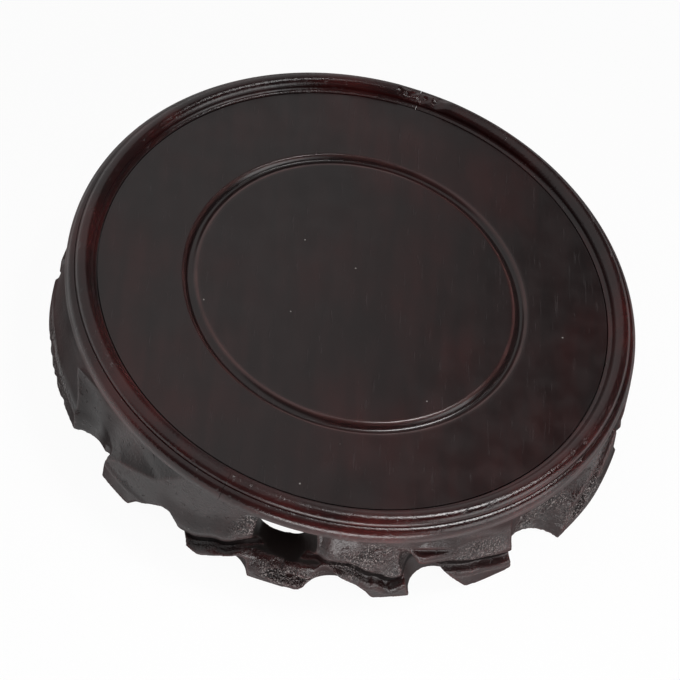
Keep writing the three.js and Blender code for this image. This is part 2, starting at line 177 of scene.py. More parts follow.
def addWorld():
    world = bpy.data.worlds.new("studio")
    bpy.context.scene.world = world
    world.use_nodes = True
    tree = world.node_tree
    background = tree.nodes["Background"]
    background.inputs["Color"].default_value = (1, 1, 1, 1)
    place = tree.nodes.new("ShaderNodeTexCoord").outputs["Generated"]
    direction = addNode(tree, "ShaderNodeSeparateXYZ", {"Vector": place})
    shares = [spread(tree, direction.outputs[axis], dark, bright)
              for axis, dark, bright in studio["wallEdges"]]
    strength = addNode(tree, "ShaderNodeMapRange", {
        "Value": math2(tree, "MULTIPLY", *shares),
        "To Min": studio["darkWall"], "To Max": studio["brightWall"]})
    tree.links.new(strength.outputs["Result"], background.inputs["Strength"])


def addFloor():
    half = studio["floorSize"] / 2 * mm
    mesh = bpy.data.meshes.new("floor")
    corners = [(-half, -half, 0), (half, -half, 0), (half, half, 0), (-half, half, 0)]
    mesh.from_pydata(corners, [], [(0, 1, 2, 3)])
    floor = link("floor", mesh)
    material, tree, shader = newMaterial("floorPaper")
    shader.inputs["Base Color"].default_value = studio["floorColor"]
    shader.inputs["Roughness"].default_value = studio["floorRoughness"]
    shader.inputs["Specular IOR Level"].default_value = 0.0
    paper = addNode(tree, "ShaderNodeEmission", {"Strength": 1.0})
    share = math2(tree, "MULTIPLY", plainRays(tree), studio["floorWhite"])
    blend = addNode(tree, "ShaderNodeMixShader",
                    {"Fac": share, 1: shader.outputs[0], 2: paper.outputs[0]})
    tree.links.new(blend.outputs[0], tree.nodes["Material Output"].inputs["Surface"])
    mesh.materials.append(material)


addCamera()
addLamps()
addWorld()
addFloor()

print("lacquer and wood")


def newGroup(name, inputs, outputs):
    group = bpy.data.node_groups.new(name, "ShaderNodeTree")
    for label, kind, value in inputs:
        socket = group.interface.new_socket(label, in_out="INPUT", socket_type=kind)
        if value is not None:
            socket.default_value = value
    for label, kind in outputs:
        group.interface.new_socket(label, in_out="OUTPUT", socket_type=kind)
    start = group.nodes.new("NodeGroupInput")
    end = group.nodes.new("NodeGroupOutput")
    return group, start, end


vectorKind, floatKind, colorKind = "NodeSocketVector", "NodeSocketFloat", "NodeSocketColor"
grainLook = {"detail": 4.0, "roughness": 0.6, "pores": (0.60, 0.72),
             "broad": (0.12, 0.3, 0.12), "broadDetail": 3.0, "broadWarp": 0.4}


def makeGrain():
    # grain of the wood under the lacquer: soft figure, pores drawn out along the second axis
    group, start, end = newGroup("grain", [
        ("Vector", vectorKind, None), ("Across", floatKind, 700.0), ("Along", floatKind, 30.0),
    ], [("Figure", floatKind), ("Pores", floatKind)])
    across, along = start.outputs["Across"], start.outputs["Along"]
    scale = addNode(group, "ShaderNodeCombineXYZ", {"X": across, "Y": along, "Z": across})
    place = addNode(group, "ShaderNodeVectorMath",
                    {0: start.outputs["Vector"], 1: scale.outputs[0]}, operation="MULTIPLY")
    fine = noiseTexture(group, place.outputs[0], 1.0, detail=grainLook["detail"],
                        roughness=grainLook["roughness"])
    broadPlace = addNode(group, "ShaderNodeVectorMath",
                         {0: place.outputs[0], 1: grainLook["broad"]}, operation="MULTIPLY")
    broad = noiseTexture(group, broadPlace.outputs[0], 1.0, detail=grainLook["broadDetail"],
                         distortion=grainLook["broadWarp"])
    group.links.new(broad, end.inputs["Figure"])
    group.links.new(spread(group, fine, *grainLook["pores"]), end.inputs["Pores"])
    return group


skinLook = {"detail": 3.0, "roughness": 0.55, "slowShare": 0.07, "slowDetail": 2.0, "slowHeight": 0.6,
            "dustScale": 75.0, "dustBand": (0.032, 0.014), "dustHeight": 1.2}


def makeLacquerSkin():
    # unevenness of brushed lacquer: its fine peel, slow brush marks and specks of dust
    group, start, end = newGroup("lacquerSkin", [
        ("Vector", vectorKind, None), ("Peel", floatKind, 1.0), ("Size", floatKind, 900.0),
    ], [("Height", floatKind), ("Gloss", floatKind), ("Dust", floatKind)])
    vector, size = start.outputs["Vector"], start.outputs["Size"]
    fine = noiseTexture(group, vector, size, detail=skinLook["detail"], roughness=skinLook["roughness"])
    slowSize = math2(group, "MULTIPLY", size, skinLook["slowShare"])
    slow = noiseTexture(group, vector, slowSize, detail=skinLook["slowDetail"])
    cells = addNode(group, "ShaderNodeTexVoronoi", {"Vector": vector, "Scale": skinLook["dustScale"]})
    dust = spread(group, cells.outputs["Distance"], *skinLook["dustBand"])
    height = math2(group, "MULTIPLY", fine, start.outputs["Peel"])
    for part, share in ((slow, skinLook["slowHeight"]), (dust, skinLook["dustHeight"])):
        height = math2(group, "ADD", height, math2(group, "MULTIPLY", part, share))
    group.links.new(height, end.inputs["Height"])
    group.links.new(slow, end.inputs["Gloss"])
    group.links.new(dust, end.inputs["Dust"])
    return group


thinLook = {"cloudScale": 22.0, "cloudDetail": 4.0, "cloudBand": (0.42, 0.72),
            "figureBand": (0.3, 0.7, 0.75, 1.25)}


def makeThinLacquer():
    # lacquer colour: nearly black where it lies thick, red where it is rubbed thin over an edge
    group, start, end = newGroup("thinLacquer", [
        ("Vector", vectorKind, None), ("Deep", colorKind, None), ("Red", colorKind, None),
        ("Thin", floatKind, 0.0), ("Cloud", floatKind, 0.3), ("Figure", floatKind, 0.5),
    ], [("Color", colorKind)])
    cloud = noiseTexture(group, start.outputs["Vector"], thinLook["cloudScale"],
                         detail=thinLook["cloudDetail"])
    cloud = spread(group, cloud, *thinLook["cloudBand"])
    share = math2(group, "MULTIPLY", cloud, start.outputs["Cloud"])
    share = math2(group, "ADD", share, start.outputs["Thin"], clamp=True)
    figure = spread(group, start.outputs["Figure"], *thinLook["figureBand"])
    color = mixColor(group, share, start.outputs["Deep"], start.outputs["Red"])
    shade = addNode(group, "ShaderNodeCombineXYZ", {"X": figure, "Y": figure, "Z": figure})
    color = mixColor(group, 1.0, color, shade.outputs[0], "MULTIPLY")
    group.links.new(color, end.inputs["Color"])
    return group


grainGroup = makeGrain()
skinGroup = makeLacquerSkin()
thinGroup = makeThinLacquer()

dustColor = (0.36, 0.34, 0.32, 1)
# on the carver's rough cuts: pale specks that are painted glints, and dark specks between them that are
# painted shade in the pits
paintedSpeckLook = {"scale": 1500.0, "detail": 2.0, "roughness": 0.6,
             "glintBand": (0.54, 0.62), "glintColor": (0.30, 0.26, 0.25, 1),
             "pitShadeBand": (0.50, 0.42), "pitShadeColor": (0.003, 0.0015, 0.0015, 1), "pitShade": 0.9}
glossBand = (0.3, 0.7)
grazingBand = (0.4, 0.75)
bumpDistance = 0.0002

# what most of the lacquer has in common
lacquer = {"cloud": 0.5, "streak": 0.3, "paintedSpecks": 0.8, "chisel": 5.0, "peel": 1.0, "turn": 0.0,
           "pale": (0.040, 0.026, 0.026, 1), "worn": (0.080, 0.034, 0.032, 1)}
dullLacquer = {**lacquer, "cloud": 0.4, "pale": (0.030, 0.022, 0.020, 1), "worn": (0.030, 0.022, 0.020, 1),
               "across": 400.0, "along": 100.0}

finishes = {
    "fieldLacquer": {
        **lacquer, "deep": (0.012, 0.0048, 0.0048, 1), "red": (0.036, 0.0045, 0.0040, 1),
        "pale": (0.040, 0.030, 0.031, 1), "streak": 0.45, "dust": 0.7, "paintedSpecks": 0.0, "chisel": 0.0,
        "roughness": (0.17, 0.26), "grazing": 0.0, "specular": 0.50,
        "turn": -12.0, "across": 1500.0, "along": 90.0, "peel": 0.5, "skinSize": 1400.0, "bump": 0.07,
    },
    "rimLacquer": {
        **lacquer, "deep": (0.015, 0.0040, 0.0040, 1), "red": (0.075, 0.009, 0.008, 1), "dust": 0.5,
        "roughness": (0.13, 0.23), "grazing": 0.5, "specular": 0.50,
        "across": 600.0, "along": 200.0, "skinSize": 1500.0, "bump": 0.42,
    },
    "baseLacquer": {
        **lacquer, "deep": (0.013, 0.0052, 0.0052, 1), "red": (0.055, 0.012, 0.011, 1), "dust": 0.4,
        "roughness": (0.13, 0.22), "grazing": 0.80, "specular": 0.45,
        "across": 500.0, "along": 160.0, "skinSize": 1300.0, "bump": 0.85,
    },
    "insideLacquer": {
        **dullLacquer, "deep": (0.0085, 0.0060, 0.0055, 1), "red": (0.018, 0.007, 0.006, 1),
        "streak": 0.4, "dust": 0.6, "paintedSpecks": 0.0, "chisel": 0.0,
        "roughness": (0.40, 0.55), "grazing": 0.2, "specular": 0.30, "skinSize": 900.0, "bump": 0.5,
    },
    # painted shade: nearly black lacquer with almost no shine, for the neck over the foot lips where shade
    # falls
    "neckShadeLacquer": {
        **dullLacquer, "deep": (0.0060, 0.0040, 0.0040, 1), "red": (0.022, 0.006, 0.006, 1),
        "streak": 0.2, "dust": 0.4, "paintedSpecks": 0.25, "chisel": 3.0,
        "roughness": (0.32, 0.45), "grazing": 0.3, "specular": 0.05, "skinSize": 1300.0, "bump": 0.6,
    },
}


def placeGroup(tree, group, values):
    return addNode(tree, "ShaderNodeGroup", values, node_tree=group)


def placeGrain(tree, vector, finish):
    turn = (0, 0, math.radians(finish["turn"]))
    turned = addNode(tree, "ShaderNodeMapping", {"Vector": vector, "Rotation": turn})
    return placeGroup(tree, grainGroup, {"Vector": turned.outputs[0], "Across": finish["across"],
                                         "Along": finish["along"]})


def makeLacquer(name):
    finish = finishes[name]
    material, tree, shader = newMaterial(name)
    vector = tree.nodes.new("ShaderNodeTexCoord").outputs["Object"]
    grain = placeGrain(tree, vector, finish)
    carved = attribute(tree, "carved")
    peel = math2(tree, "ADD", math2(tree, "MULTIPLY", carved, finish["chisel"]), finish["peel"])
    skin = placeGroup(tree, skinGroup, {"Vector": vector, "Peel": peel, "Size": finish["skinSize"]})
    thin = placeGroup(tree, thinGroup, {
        "Vector": vector, "Deep": finish["deep"], "Red": finish["red"], "Cloud": finish["cloud"],
        "Thin": attribute(tree, "thin"), "Figure": grain.outputs["Figure"]})
    paintedSpecks = noiseTexture(tree, vector, paintedSpeckLook["scale"], detail=paintedSpeckLook["detail"],
                          roughness=paintedSpeckLook["roughness"])
    pitShadeShare = math2(tree, "MULTIPLY", carved, paintedSpeckLook["pitShade"])
    glintShare = math2(tree, "MULTIPLY", carved, finish["paintedSpecks"])
    color = thin.outputs["Color"]
    for share, over in (
        (math2(tree, "MULTIPLY", grain.outputs["Pores"], finish["streak"]), finish["pale"]),
        (attribute(tree, "worn"), finish["worn"]),
        (math2(tree, "MULTIPLY", skin.outputs["Dust"], finish["dust"]), dustColor),
        # painted shade in the pits of the rough cuts, then painted glints on them
        (math2(tree, "MULTIPLY", spread(tree, paintedSpecks, *paintedSpeckLook["pitShadeBand"]), pitShadeShare),
         paintedSpeckLook["pitShadeColor"]),
        (math2(tree, "MULTIPLY", spread(tree, paintedSpecks, *paintedSpeckLook["glintBand"]), glintShare),
         paintedSpeckLook["glintColor"]),
    ):
        color = mixColor(tree, share, color, over)
    tree.links.new(color, shader.inputs["Base Color"])
    rough = spread(tree, skin.outputs["Gloss"], *glossBand, *finish["roughness"])
    # old lacquer shows its fine scratches at a flat angle, where it turns satin
    facing = tree.nodes.new("ShaderNodeLayerWeight").outputs["Facing"]
    satin = spread(tree, facing, *grazingBand, 0.0, finish["grazing"])
    rough = math2(tree, "ADD", rough, satin, clamp=True)
    tree.links.new(rough, shader.inputs["Roughness"])
    shader.inputs["Specular IOR Level"].default_value = finish["specular"]
    height = math2(tree, "SUBTRACT", skin.outputs["Height"], grain.outputs["Pores"])
    bump = addNode(tree, "ShaderNodeBump", {"Strength": finish["bump"], "Distance": bumpDistance,
                                            "Height": height})
    tree.links.new(bump.outputs["Normal"], shader.inputs["Normal"])
    return material


bareFinishes = {
    "bareWood": {"light": (0.28, 0.13, 0.08, 1), "dark": (0.14, 0.055, 0.032, 1),
                 "roughness": 0.62, "turn": 90.0, "across": 420.0, "along": 12.0},
    "bamboo": {"light": (0.60, 0.44, 0.23, 1), "dark": (0.42, 0.27, 0.12, 1),
               "roughness": 0.5, "turn": 0.0, "across": 900.0, "along": 40.0},
}
bareLook = {"figureBand": (0.3, 0.7), "poreShare": 0.6, "bump": 0.3}


def makeBareWood(name):
    finish = bareFinishes[name]
    material, tree, shader = newMaterial(name)
    grain = placeGrain(tree, tree.nodes.new("ShaderNodeTexCoord").outputs["Object"], finish)
    figure = spread(tree, grain.outputs["Figure"], *bareLook["figureBand"])
    color = mixColor(tree, figure, finish["light"], finish["dark"])
    pores = math2(tree, "MULTIPLY", grain.outputs["Pores"], bareLook["poreShare"])
    color = mixColor(tree, pores, color, finish["dark"])
    tree.links.new(color, shader.inputs["Base Color"])
    shader.inputs["Roughness"].default_value = finish["roughness"]
    height = math2(tree, "SUBTRACT", 1.0, grain.outputs["Pores"])
    bump = addNode(tree, "ShaderNodeBump", {"Strength": bareLook["bump"], "Distance": bumpDistance,
                                            "Height": height})
    tree.links.new(bump.outputs["Normal"], shader.inputs["Normal"])
    return material


materials = {name: makeLacquer(name) for name in finishes}
materials.update({name: makeBareWood(name) for name in bareFinishes})


def plainMesh(piece):
    # the evaluated mesh of a piece, with its modifiers taken into it
    graph = bpy.context.evaluated_depsgraph_get()
    graph.update()
    mesh = bpy.data.meshes.new_from_object(piece.evaluated_get(graph))
    piece.modifiers.clear()
    return mesh


def coat(piece, material):
    piece.data.materials.clear()
    piece.data.materials.append(materials[material])


def standFor(piece, node, material):
    coat(piece, material)
    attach(piece, "root")
    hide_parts(node)


def gridMesh(name, points, closeAcross=False):
    # points is rows by columns by 3, in millimetres; a row closes on itself
    rows, columns = points.shape[:2]
    index = np.arange(rows * columns).reshape(rows, columns)
    lowRow = index if closeAcross else index[:-1]
    highRow = np.roll(index, -1, axis=0) if closeAcross else index[1:]
    nextLow, nextHigh = np.roll(lowRow, -1, axis=1), np.roll(highRow, -1, axis=1)
    faces = np.stack([lowRow, highRow, nextHigh, nextLow], axis=-1).reshape(-1, 4)
    mesh = bpy.data.meshes.new(name)
    mesh.from_pydata((points.reshape(-1, 3) * mm).tolist(), [], faces.tolist())
    mesh.update()
    return mesh


def readRows(items, name, width=3, kind=float):
    # what every vertex, edge or face has under this name, as the rows of an array
    flat = np.empty(len(items) * width, kind)
    items.foreach_get(name, flat)
    return flat.reshape(-1, width)


def positions(mesh):
    return readRows(mesh.vertices, "co") / mm


def setPositions(mesh, points):
    mesh.vertices.foreach_set("co", (points * mm).ravel())
    mesh.update()


def writeMask(mesh, name, values):
    mesh.attributes.new(name, "FLOAT", "POINT").data.foreach_set("value", values)


def polar(points):
    # azimuth and radius of every point
    return np.degrees(np.arctan2(points[:, 1], points[:, 0])), np.hypot(points[:, 0], points[:, 1])


def polarPoints(radius, az, z):
    turn = np.radians(az)
    return np.stack([radius * np.cos(turn), radius * np.sin(turn), z + 0 * az], axis=-1)


def signedTurn(turn):
    return (turn + 180) % 360 - 180


def dome(away, edge):
    # 1 over the middle, falling to 0 where away reaches 1
    return np.clip(edge - edge * away, 0, 1)


def softStep(share):
    return share * share * (3 - 2 * share)


def latticeNoise(cells, gain=1.0, lift=0.0):
    # soft noise from lift to lift + gain, from a fixed table of numbers at whole cells
    low = np.floor(cells).astype(np.int64)
    share = softStep(cells - low)
    total = 0.0
    for corner in np.ndindex(2, 2, 2):
        at = (low + corner) * (73856093, 19349663, 83492791)
        value = ((at[:, 0] ^ at[:, 1] ^ at[:, 2]) * 2654435761 >> 7) % 1024 / 1023
        total = total + value * np.prod(np.where(corner, share, 1 - share), axis=1)
    return gain * total + lift


def turnOutward(shell, mesh):
    bmesh.ops.recalc_face_normals(shell, faces=shell.faces)
    shell.to_mesh(mesh)
    shell.free()


def addTool(name, rows):
    # a block to cut with, closed at its first and last row of corners
    mesh = gridMesh(name, np.array(rows, float))
    block = bmesh.new()
    block.from_mesh(mesh)
    bmesh.ops.holes_fill(block, edges=[edge for edge in block.edges if edge.is_boundary])
    turnOutward(block, mesh)
    return link(name, mesh)


def cut(piece, tools, operation="DIFFERENCE"):
    for tool in tools:
        step = piece.modifiers.new("cut", "BOOLEAN")
        step.object = tool
        step.operation = operation
        step.solver = "MANIFOLD"
    piece.data = plainMesh(piece)
    for tool in tools:
        bpy.data.objects.remove(tool)


def spans(joints):
    # start and end azimuth of each piece between one joint and the next
    return zip(joints, (*joints[1:], joints[0] + 360))


print("carved base")

ring = {
    "rimRadius": 100.5, "bore": 86.0, "rebateRadius": 91.3, "ledge": fieldBottom - glueLine,
    "footLip": 10.0, "shoulder": 19.5, "shoulderInset": 0.9,
    "joints": (14, 76.5, 134, 200, 256.5, 313),
    # height over the ground, inset from the foot
    "footMoulding": ((-20, 0), (8.2, 0.2), (9.6, 1.0), (10.6, 3.4), (12.0, 4.6), (13.4, 4.2), (15.4, 2.2),
                     (17.5, 1.0), (19.5, 0.9), (21.5, 1.6), (24, 3.1), (26.5, 4.4), (29, 4.8), (60, 4.8)),
    # height over the ground, inset of a plain lobe from its foot
    "plainMoulding": ((0, 0), (6.8, 0.0), (7.6, 0.25), (8.6, 0.9), (10.5, 1.3), (24, 2.9), (36.3, 4.8)),
    # azimuth, how far the foot stands outside the rim
    "proud": ((0, 5.2), (12, 4.2), (36, 2.0), (57, 1.0), (76, 0.2), (93, -0.6), (103, -0.8), (116, -0.5),
              (137, 1.4), (154, 3.2), (170, 2.9), (190, 2.5), (204, 1.3), (217, 0.5), (237, 0.7),
              (256, 0.2), (273, -0.6), (283, -0.8), (296, -0.5), (317, 1.4), (334, 3.6), (350, 4.9)),
    # azimuth, share of moulding, height of the foot lip, share of the neck's inset; these are
    # carved again on the opposite side
    "lips": ((180, 0, 6, 1), (222, 0, 5, 0.9), (238, 0, 3, 0.5), (245, 0.1, 2.0, 0.45),
             (250, 0.8, 0.0, 0.5), (254, 1, 0.6, 0.55), (260, 1, 6.2, 0.65), (265, 1, 10.8, 0.9),
             (274, 1, 11.8, 1), (281, 1, 13.4, 1), (285, 1, 13.4, 1), (291, 1, 8.0, 1), (295, 1, 4.5, 1),
             (300.5, 1, 12.0, 1), (304, 1, 12.3, 1), (312, 1, 9.0, 1), (321, 1, 4.5, 1),
             (328, 0.3, 5, 1), (334, 0, 5, 1), (350, 0, 6, 1)),
    "flattestFlute": 150.0,
    "voxel": 0.45, "columns": 2400, "rows": 140, "smoothTurns": 3, "smoothShare": 0.5, "sharpAngle": 60,
}

# Flutes gouged between the lobes: share of the height, azimuth, half width, depth inside the rim's
# edge. The twins are cut again on the opposite side.
twinFlutes = (
    ((0, 226.1, 9.9, 5.6), (0.14, 225.9, 10.2, 5.7), (0.28, 225.5, 11.0, 6.0), (0.41, 226.6, 15.0, 6.5),
     (0.55, 228.2, 22.0, 7.0), (0.69, 230.5, 29.0, 7.4), (0.83, 234, 38.0, 7.6), (1, 237.5, 44.0, 7.6)),
    ((0, 229.2, 4.4, 6.3), (0.12, 229.1, 4.4, 6.2), (0.20, 229.2, 4.2, 5.4), (0.3, 230, 3.0, 3.5)),
    ((0, 247, 12.5, 8.5), (0.14, 247.3, 9.0, 6.6), (0.25, 247.8, 5.2, 4.2), (0.33, 248, 1.5, 1.5)),
    ((0, 262.2, 8.8, 6.6), (0.08, 263.1, 6.6, 5.2), (0.165, 264.3, 4.0, 3.4), (0.25, 265.5, 1.4, 1.2)),
    ((0, 284.6, 12.4, 8.7), (0.10, 284.2, 10.6, 7.6), (0.22, 283.2, 8.0, 6.0), (0.38, 281, 2.0, 3.5)),
    ((0, 305.2, 10, 10), (0.3, 301.4, 7.4, 9.2), (0.5, 298.0, 3.8, 7.6), (0.62, 295.9, 2.0, 5.6),
     (0.74, 293.9, 0.6, 3.2)),
    ((0, 327.7, 11.0, 7.5), (0.2, 327.8, 12.8, 7.6), (0.4, 328.1, 15.2, 7.8), (0.7, 329.8, 22.3, 7.9),
     (1, 332.4, 30.8, 7.6)),
    ((0.04, 336, 1.2, -2.5), (0.4, 343, 6, 1.5), (1, 353, 9, 6.6)),
)
singleFlutes = (
    ((0, 361, 5, -1.5), (1, 353, 4, 3)),
    ((0, 184, 4, -0.5), (1, 186, 5, 5)),
)

opening = {
    "outside": {"az": 273.3, "halfWidth": 11.4, "low": 10.8, "high": baseHeight - 2.8},
    "inside": {"az": 270.8, "halfWidth": 8.5, "low": 12.5, "high": ring["ledge"] - 1.4},
    "squareness": 3.0, "lean": 2.0, "sides": 96, "rows": 12,
    "overhang": (1, 7),   # how far the cutter stands out of the bore and of the outside
    "eases": ((-1, 5.0, 11.0), (1, 2.0, 4.0)),   # side, depth, width
    "easeOverlap": 1, "easeReach": 1.6,   # reach up and down, in half heights of the opening
}
footHollow = {"az": 275.0, "z": 5.8, "halfWidth": 8.4, "halfHeight": 2.6, "depth": 3.6, "fullness": 0.7,
              "ridge": 0.8, "ridgeAt": 1.25, "ridgeWidth": 0.3}
beyondAll = 1000.0   # a radius larger than any of the stand's


def eased(table, column, turn):
    # a value between its stops round the stand, with soft turns
    table = np.array(table, float)
    stops = np.append(table[:, 0], table[0, 0] + 360)
    values = np.append(table[:, column], table[0, column])
    turn = stops[0] + np.mod(turn - stops[0], 360)
    i = np.clip(np.searchsorted(stops, turn, side="right") - 1, 0, len(stops) - 2)
    soft = softStep((turn - stops[i]) / (stops[i + 1] - stops[i]))
    return values[i] * (1 - soft) + values[i + 1] * soft


def twice(table):
    return tuple((row[0] - 180, *row[1:]) for row in table) + tuple(table)


def blankRadius(az, z):
    proud = eased(ring["proud"], 1, az)
    lips = twice(ring["lips"])
    moulded, lip, neck = eased(lips, 1, az), eased(lips, 2, az), eased(lips, 3, az)
    edge = ring["rimRadius"] + proud + (np.maximum(proud, 0) - proud) * (z / baseHeight)
    drop = z - lip + ring["footLip"]
    foot = np.interp(drop, *np.array(ring["footMoulding"], float).T)
    inset = ring["shoulderInset"]
    foot = np.where(drop > ring["shoulder"], inset + (foot - inset) * neck, foot)
    plain = np.interp(z, *np.array(ring["plainMoulding"], float).T) * (0.5 + 0.5 * neck)
    return edge - moulded * foot - (1 - moulded) * plain - openingEase(az, z)


def fluteRadius(stations, turn, az, z):
    # radius of one flute's floor where it meets a ray at this azimuth and height, or beyondAll
    rise, at, half, deep = np.array(stations, float).T
    share = z / baseHeight
    middle = np.interp(share, rise, at) + turn
    width = np.interp(share, rise, half)
    floor = ring["rimRadius"] - np.interp(share, rise, deep)
    blank = blankRadius(middle, z)
    flattest = width ** 2 / (2 * ring["flattestFlute"])
    sink = np.maximum(np.sqrt(blank ** 2 - width ** 2) - floor, flattest)
    bend = (width ** 2 + sink ** 2) / (2 * sink)
    away = np.radians(az - middle)
    centre = floor + bend
    along = centre * np.cos(away)
    gap = bend ** 2 - (centre * np.sin(away)) ** 2
    met = (share >= rise[0]) & (share <= rise[-1]) & (gap > 0) & (along > 0)
    return np.where(met, along - np.sqrt(np.maximum(gap, 0)), beyondAll)


def hollowDepth(az, z, turn):
    side = np.radians(signedTurn(az - footHollow["az"] - turn)) * ring["rimRadius"]
    away = (side / footHollow["halfWidth"]) ** 2 + ((z - footHollow["z"]) / footHollow["halfHeight"]) ** 2
    past = (np.sqrt(away) - footHollow["ridgeAt"]) / footHollow["ridgeWidth"]
    bowl = footHollow["depth"] * np.clip(1 - away, 0, 1) ** footHollow["fullness"]
    return bowl - footHollow["ridge"] * np.exp(-past ** 2)


def openingEase(az, z):
    # how far the outer edge of the opening is eased over at its sides
    outside = opening["outside"]
    middle, half = (outside["high"] + outside["low"]) / 2, (outside["high"] - outside["low"]) / 2
    total = 0.0
    for turn in (0, 180):
        across = np.radians(signedTurn(az - outside["az"] - turn)) * ring["rimRadius"]
        level = np.clip(opening["easeReach"] - np.abs(z - middle) / half, 0, 1)
        for side, depth, width in opening["eases"]:
            beyond = np.maximum(across * side - outside["halfWidth"] + opening["easeOverlap"], 0) / width
            total = total + depth * np.clip(1 - beyond, 0, 1) ** 2 * level * (across * side > 0)
    return total


def carvedRadius(az, z):
    radius = blankRadius(az, z)
    for turn in (0, 180):
        for stations in twinFlutes:
            radius = np.minimum(radius, fluteRadius(stations, turn, az, z))
        radius = radius - hollowDepth(az, z, turn)
    for stations in singleFlutes:
        radius = np.minimum(radius, fluteRadius(stations, 0, az, z))
    return radius


def squared(value):
    # a sine or cosine with its ends drawn out, so that a circle turns into a rounded square
    return np.sign(value) * np.abs(value) ** (2 / opening["squareness"])


def openingCutter(turn):
    outside, inside = opening["outside"], opening["inside"]
    angle = np.linspace(0, 2 * math.pi, opening["sides"], endpoint=False)
    low, high = ring["bore"] - opening["overhang"][0], ring["rimRadius"] + opening["overhang"][1]
    rows = []
    for radius in np.linspace(low, high, opening["rows"]):
        share = (radius - ring["bore"]) / (ring["rimRadius"] - ring["bore"])
        mix = {key: inside[key] + (outside[key] - inside[key]) * share for key in inside}
        half = (mix["high"] - mix["low"]) / 2
        z = mix["low"] + half * (1 + squared(np.sin(angle)))
        lean = opening["lean"] * share * (1 - np.sin(angle)) / 2
        across = mix["halfWidth"] * squared(np.cos(angle)) - lean
        turned = math.radians(mix["az"] + turn)
        rows.append(np.stack([radius * math.cos(turned) - across * math.sin(turned),
                              radius * math.sin(turned) + across * math.cos(turned), z], axis=-1))
    return addTool("openingCutter", rows)


def makeRing():
    # the whole carved ring as one closed skin, before it is sawn into its segments
    columns, rows = ring["columns"], ring["rows"]
    az = np.linspace(0, 360, columns, endpoint=False)
    heights = np.linspace(0, baseHeight, rows)
    outside = [polarPoints(carvedRadius(az, np.full(columns, z)), az, z) for z in heights]
    inside = [(ring["rebateRadius"], baseHeight), (ring["rebateRadius"], ring["ledge"]),
              (ring["bore"], ring["ledge"]), (ring["bore"], 0)]
    inner = [polarPoints(np.full(columns, radius), az, z) for radius, z in inside]
    mesh = gridMesh("carvedRing", np.array(outside + inner), closeAcross=True)
    return link("carvedRing", mesh)


def edgeSums(a, b, count, toA=None, toB=None):
    # for every vertex, the sum of what its edges bring to it
    return np.bincount(a, toA, count) + np.bincount(b, toB, count)


def soften(mesh):
    points = positions(mesh)
    a, b = readRows(mesh.edges, "vertices", 2, int).T
    count = edgeSums(a, b, len(points))
    for _ in range(ring["smoothTurns"]):
        total = np.empty_like(points)
        for axis in range(3):
            total[:, axis] = edgeSums(a, b, len(points), points[b, axis], points[a, axis])
        points = points + (total / count[:, None] - points) * ring["smoothShare"]
    setPositions(mesh, points)


wedge = {"near": 20, "far": 220, "columns": 5, "margin": 5}


def wedgeTool(start, end):
    # everything between two joint planes
    angles = np.radians(np.linspace(start, end, wedge["columns"]))
    outline = [(wedge["near"], angles[0]), *((wedge["far"], a) for a in angles), (wedge["near"], angles[-1])]
    return addTool("wedge", [[(radius * math.cos(a), radius * math.sin(a), z) for radius, a in outline]
                             for z in (-wedge["margin"], crestLevel + wedge["margin"])])


def dropSlivers(mesh):
    # a saw cut can leave pairs of slivers back to back on its plane
    shell = bmesh.new()
    shell.from_mesh(mesh)
    bmesh.ops.triangulate(shell, faces=[face for face in shell.faces if len(face.verts) > 3])
    shell.verts.index_update()
    corners = {}
    for face in shell.faces:
        corners.setdefault(frozenset(corner.index for corner in face.verts), []).append(face)
    slivers = [face for faces in corners.values() if len(faces) > 1 for face in faces]
    bmesh.ops.delete(shell, geom=slivers, context="FACES")
    shell.to_mesh(mesh)
    shell.free()
    return len(slivers)


ridges = {"gain": 1.2, "turns": 2, "shortest": 1e-6, "cell": 3.0, "patches": (1.7, -0.2)}


def paintRidges(mesh):
    # how convex the skin is, as a mask for lacquer that was rubbed thin
    points, normals = positions(mesh), readRows(mesh.vertices, "normal")
    a, b = readRows(mesh.edges, "vertices", 2, int).T
    count = np.maximum(edgeSums(a, b, len(points)), 1)
    step = points[b] - points[a]
    length = np.maximum(np.linalg.norm(step, axis=1), ridges["shortest"])
    bend = ((normals[b] - normals[a]) * step).sum(1) / length ** 2
    value = edgeSums(a, b, len(points), bend, bend) / count
    for _ in range(ridges["turns"]):
        value = edgeSums(a, b, len(points), value[b], value[a]) / count
    patches = latticeNoise(points / ridges["cell"], *ridges["patches"])
    writeMask(mesh, "thin", np.clip(value * ridges["gain"] * patches, 0, 1))


toolMarks = (
    # azimuth, height, reach round, reach up, length of a mark round and up, depth
    (329.5, 8, 5.0, 9, 1.1, 1.8, 0.50),
    (332.5, 17, 5.0, 8, 1.1, 1.8, 0.45),
    (289.5, 19, 10.0, 10, 1.0, 0.9, 0.30),
    (310.0, 18, 9.0, 7, 1.3, 0.8, 0.26),
    (275.0, 6, 8.0, 6, 0.9, 0.7, 0.26),
    (265.5, 22, 4.5, 10, 1.2, 1.4, 0.34),
    (206.0, 5, 13.0, 5, 1.8, 1.8, 0.30),
    (342.0, 10, 8.0, 9, 1.4, 1.4, 0.22),
)

# azimuth, height, reach and depth of the nicks along one lobe's lower edge
nicks = ((197.6, 1.4, 0.9, 0.7), (199.8, 0.4, 1.3, 0.9), (201.9, 2.2, 0.8, 0.5), (203.4, 0.2, 1.1, 0.8),
         (206.1, 1.0, 0.9, 0.8), (208.2, 0.1, 1.4, 0.7), (211.0, 2.8, 0.8, 0.5), (213.5, 0.6, 1.1, 0.7))

gouging = {
    "edge": 1.4, "marks": (1.6, -0.5),
    # how the rough places break up: cell in azimuth, height and radius, then gain and lift
    "drift": (2.2, 2.4, 3.0), "patches": (2.2, -0.35),
    "boreMargin": 2,   # the bore's wall and the skin just outside it stay smooth
}


